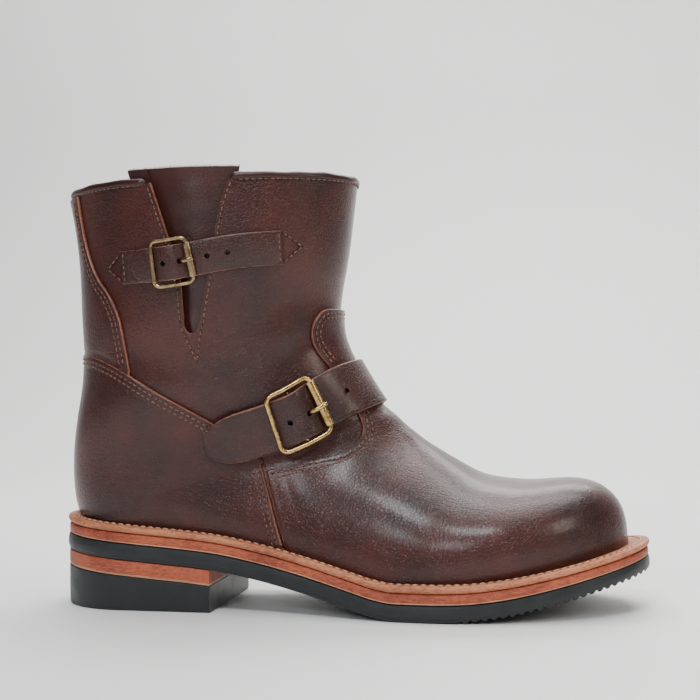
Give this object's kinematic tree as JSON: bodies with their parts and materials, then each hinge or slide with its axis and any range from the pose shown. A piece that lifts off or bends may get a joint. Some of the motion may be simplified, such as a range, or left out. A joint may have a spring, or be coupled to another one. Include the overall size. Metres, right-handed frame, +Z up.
{
  "type": "engineer boot",
  "caption": "Mid-height engineer boot for the right foot, with a rounded toe, a buckled instep strap, a buckled shaft strap over a folded gusset, and a welted sole with a stacked heel.",
  "frame": {"origin": "centre of the heel's flat face on the floor", "axes": "+X from heel to toe, +Z up, -Y to the outer (lateral) side of this right boot"},
  "size_m": [0.3037, 0.1141, 0.2225],
  "materials": {
    "upper_leather": "smooth reddish brown leather, semi-gloss",
    "vamp_leather": "smooth reddish brown leather, semi-gloss",
    "counter_leather": "smooth reddish brown leather, semi-gloss",
    "stay_leather": "smooth reddish brown leather, semi-gloss",
    "gusset_leather": "smooth reddish brown leather, semi-gloss",
    "binding_leather": "rolled dark brown leather edge",
    "welt_leather": "light tan leather, stitched",
    "midsole_leather": "orange red leather edge, fibrous",
    "outsole_rubber": "matte black rubber",
    "lift_leather": "orange red leather edge, fibrous",
    "heel_rubber": "matte black rubber",
    "insole_leather": "natural leather",
    "instep_strap_leather": "smooth reddish brown leather, semi-gloss",
    "instep_chape_leather": "smooth reddish brown leather",
    "instep_brass": "aged brass, satin",
    "roller_brass": "aged brass, satin",
    "prong_brass": "aged brass, satin",
    "shaft_strap_leather": "smooth reddish brown leather, semi-gloss",
    "shaft_chape_leather": "smooth reddish brown leather",
    "shaft_brass": "dark antique brass, satin",
    "shaft_roller_brass": "dark antique brass, satin",
    "shaft_prong_brass": "dark antique brass, satin"
  },
  "bodies": {
    "root": {"upper": "upper_leather", "vamp": "vamp_leather", "counter": "counter_leather", "back_stay": "stay_leather", "gusset": "gusset_leather", "collar_binding": "binding_leather", "welt": "welt_leather", "midsole": "midsole_leather", "outsole": "outsole_rubber", "heel_lift": "lift_leather", "heel": "heel_rubber", "insole": "insole_leather", "instep_strap": "instep_strap_leather", "instep_chape": "instep_chape_leather", "instep_buckle": "instep_brass", "instep_roller": "roller_brass", "instep_prong": "prong_brass", "shaft_strap": "shaft_strap_leather", "shaft_chape": "shaft_chape_leather", "shaft_buckle": "shaft_brass", "shaft_roller": "shaft_roller_brass", "shaft_prong": "shaft_prong_brass"}
  },
  "joints": []
}
